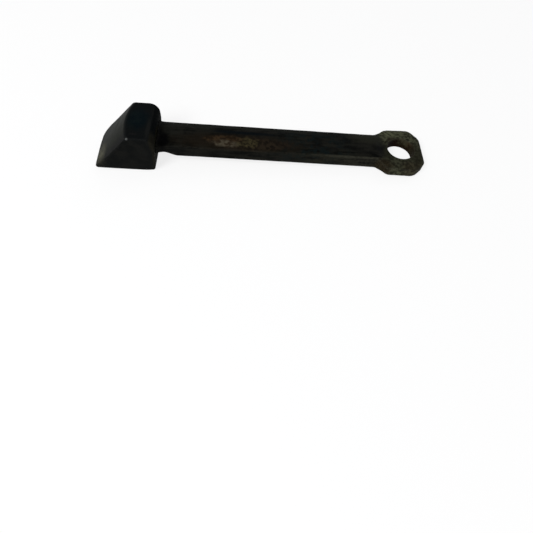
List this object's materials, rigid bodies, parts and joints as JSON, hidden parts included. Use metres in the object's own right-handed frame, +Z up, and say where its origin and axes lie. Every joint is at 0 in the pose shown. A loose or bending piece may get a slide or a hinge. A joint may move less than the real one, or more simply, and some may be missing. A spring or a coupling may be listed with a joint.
{
  "type": "stove shaker key",
  "caption": "Short iron hand key for a stove's grate: a hooded socket head with one sloping side, on a flat bevelled handle that ends in an eye for hanging.",
  "frame": {"origin": "the middle of the socket's rectangular mouth, on the plane of the head's rim", "axes": "+X along the handle towards the hanging eye, +Z up from the mouth into the socket, +Y across the handle"},
  "size_m": [0.2, 0.034, 0.0247],
  "materials": {
    "head_iron": "smooth dark grey casting, slightly blue, burnished on its slope and at its edges, with soot by the handle",
    "handle_iron": "blackened forged iron with brown rust along the middle of the bar and a rougher grey-green scale on the eye",
    "pin_iron": "drawn iron rod with a filed end, browned"
  },
  "bodies": {
    "root": {"socket_head": "head_iron", "handle_bar": "handle_iron", "tenon_pin": "pin_iron"}
  },
  "joints": []
}
